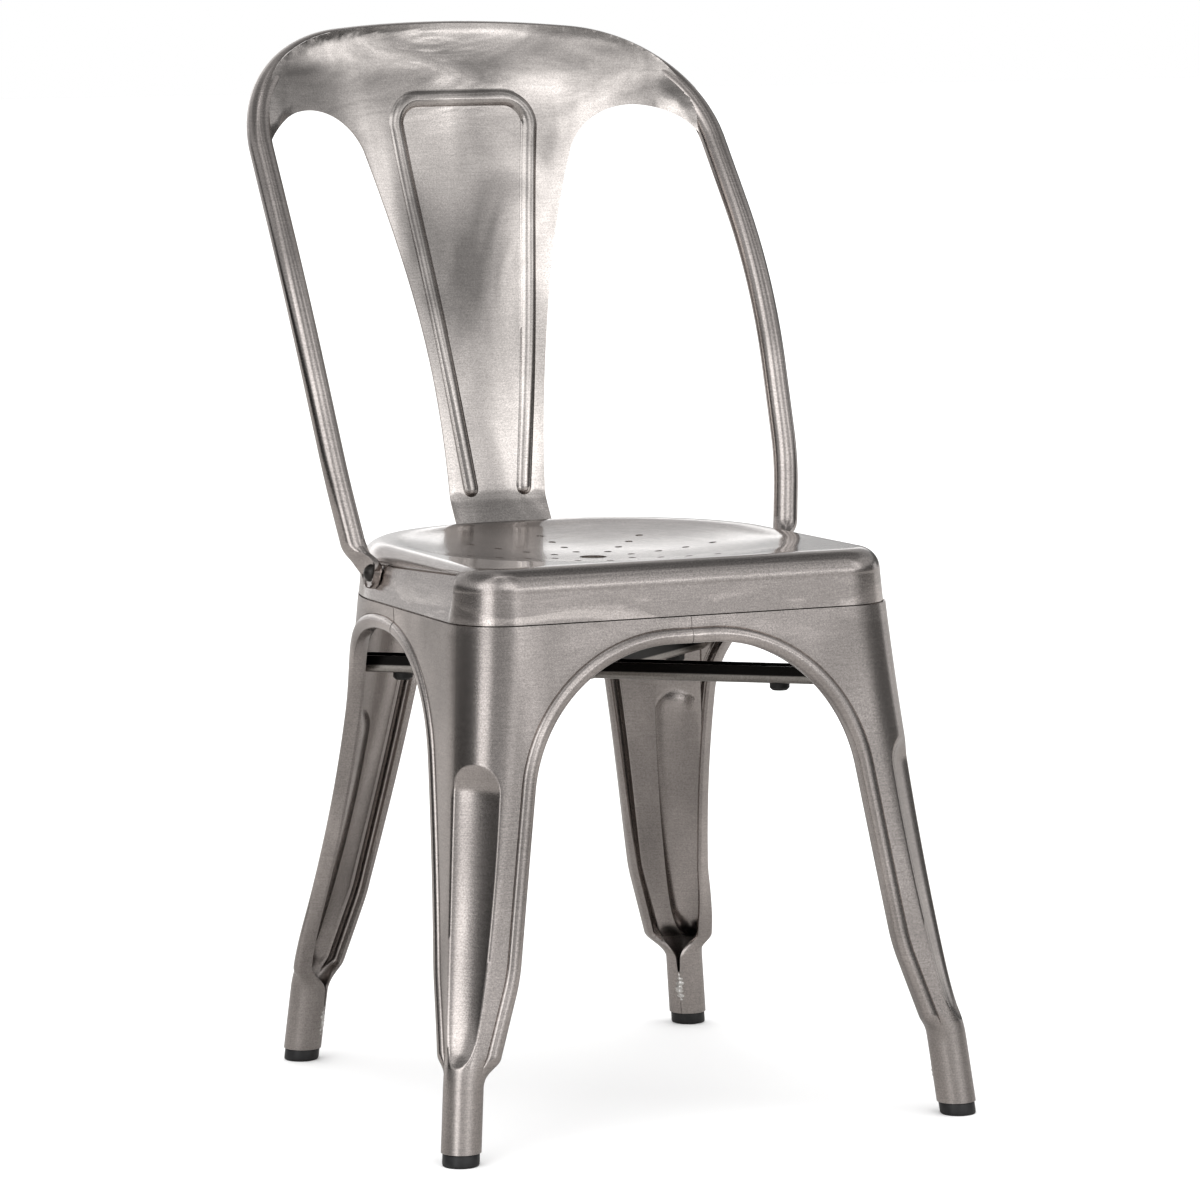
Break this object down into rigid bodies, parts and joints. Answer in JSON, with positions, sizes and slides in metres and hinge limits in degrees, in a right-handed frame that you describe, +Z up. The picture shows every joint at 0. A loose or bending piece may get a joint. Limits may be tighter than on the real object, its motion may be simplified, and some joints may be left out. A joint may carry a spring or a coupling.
{
  "type": "metal chair",
  "caption": "Stackable dining chair of pressed sheet steel: dished seat, splayed legs with arched edges, and a tube hoop back with a flat splat.",
  "frame": {"origin": "on the floor, under the middle of the chair's box", "axes": "+Z up, the sitter faces -Y, +X to the right of someone who looks at the chair's front"},
  "size_m": [0.4546, 0.5397, 0.8562],
  "materials": {
    "sheet_steel": "raw sheet steel under clear lacquer, cloudy brushing marks",
    "tube_steel": "raw rolled tube under clear lacquer",
    "brace_steel": "raw folded steel bar under clear lacquer",
    "dark_bolts": "blackened steel",
    "plated_hardware": "plated washers and nuts",
    "black_caps": "black moulded plastic",
    "black_bumpers": "black rubber"
  },
  "bodies": {
    "root": {"seat_pan": "sheet_steel", "leg_front_right": "sheet_steel", "leg_front_left": "sheet_steel", "leg_rear_right": "sheet_steel", "leg_rear_left": "sheet_steel", "foot_cap_front_right": "black_caps", "foot_cap_front_left": "black_caps", "foot_cap_rear_right": "black_caps", "foot_cap_rear_left": "black_caps", "back_hoop": "tube_steel", "back_splat": "sheet_steel", "brace_through_bar": "brace_steel", "brace_front_half_bar": "brace_steel", "brace_rear_half_bar": "brace_steel", "bumper_front_right": "black_bumpers", "bumper_front_left": "black_bumpers", "bumper_rear_right": "black_bumpers", "bumper_rear_left": "black_bumpers", "hoop_bolts": "dark_bolts", "hoop_washers": "plated_hardware", "hoop_nuts": "plated_hardware", "splat_screws": "dark_bolts", "splat_washers": "plated_hardware", "splat_nuts": "plated_hardware"}
  },
  "joints": []
}
